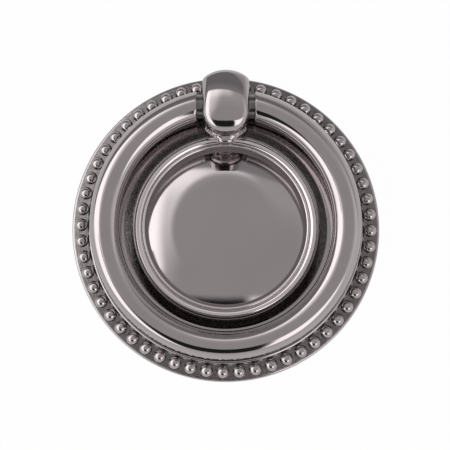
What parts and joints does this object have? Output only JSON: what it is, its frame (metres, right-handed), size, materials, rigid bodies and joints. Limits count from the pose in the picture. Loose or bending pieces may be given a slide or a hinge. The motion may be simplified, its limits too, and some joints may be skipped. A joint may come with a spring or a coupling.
{
  "type": "ring pull handle",
  "caption": "Round ring pull for a drawer or cabinet door, with a beaded backplate, a raised centre button, a hooded post and a ring that swings up on two tenons.",
  "frame": {"origin": "centre of the backplate's back face, which lies against the drawer front", "axes": "+Z out of the front of the backplate, +Y from the centre towards the post that carries the ring, +X to the right seen from the front"},
  "size_m": [0.06, 0.06, 0.0138],
  "materials": {
    "dark_nickel": "polished"
  },
  "bodies": {
    "plate": {"backplate": "dark_nickel", "post": "dark_nickel"},
    "ring": {"ring": "dark_nickel"}
  },
  "joints": [
    {"name": "ring_swing", "type": "hinge", "parent": "plate", "child": "ring", "pos_m": [0, 0.02265, 0.0089], "axis": [-1, 0, 0], "range_deg": [0, 190]}
  ]
}
